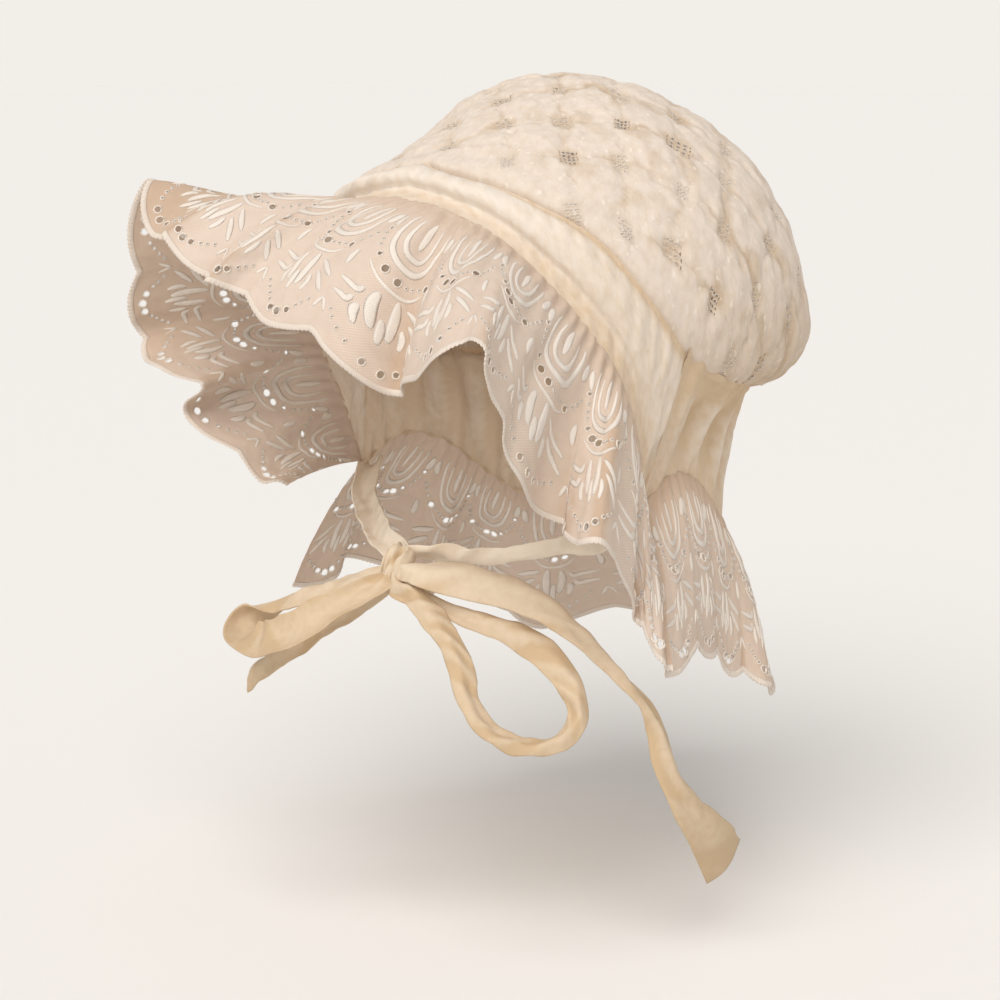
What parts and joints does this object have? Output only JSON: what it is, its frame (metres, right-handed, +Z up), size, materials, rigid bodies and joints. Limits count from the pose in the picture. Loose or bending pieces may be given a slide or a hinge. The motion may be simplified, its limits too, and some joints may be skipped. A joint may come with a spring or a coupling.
{
  "type": "baby bonnet",
  "caption": "Baby's bonnet with a puffed openwork crown, a plain band and neck curtain, a scalloped lace frill all round the edge, and cloth ties knotted in a bow.",
  "frame": {"origin": "inside of the crown's top, where the bonnet sits on a head", "axes": "+Z up, the face looks along -Y, the wearer's left side is +X"},
  "size_m": [0.1741, 0.1851, 0.2279],
  "materials": {
    "puffed_cotton": "soft matt cream openwork cotton",
    "plain_cotton": "soft matt cream cotton",
    "cream_lace": "sheer cream lace",
    "tie_cloth": "soft creased cream cloth"
  },
  "bodies": {
    "root": {"crown": "puffed_cotton", "front_band": "plain_cotton", "neck_curtain": "plain_cotton", "face_frill": "cream_lace", "neck_frill": "cream_lace", "strap_right": "tie_cloth", "strap_left": "tie_cloth", "bow_knot": "tie_cloth", "loop_right": "tie_cloth", "loop_left": "tie_cloth", "tail_left": "tie_cloth", "tail_right": "tie_cloth"}
  },
  "joints": []
}
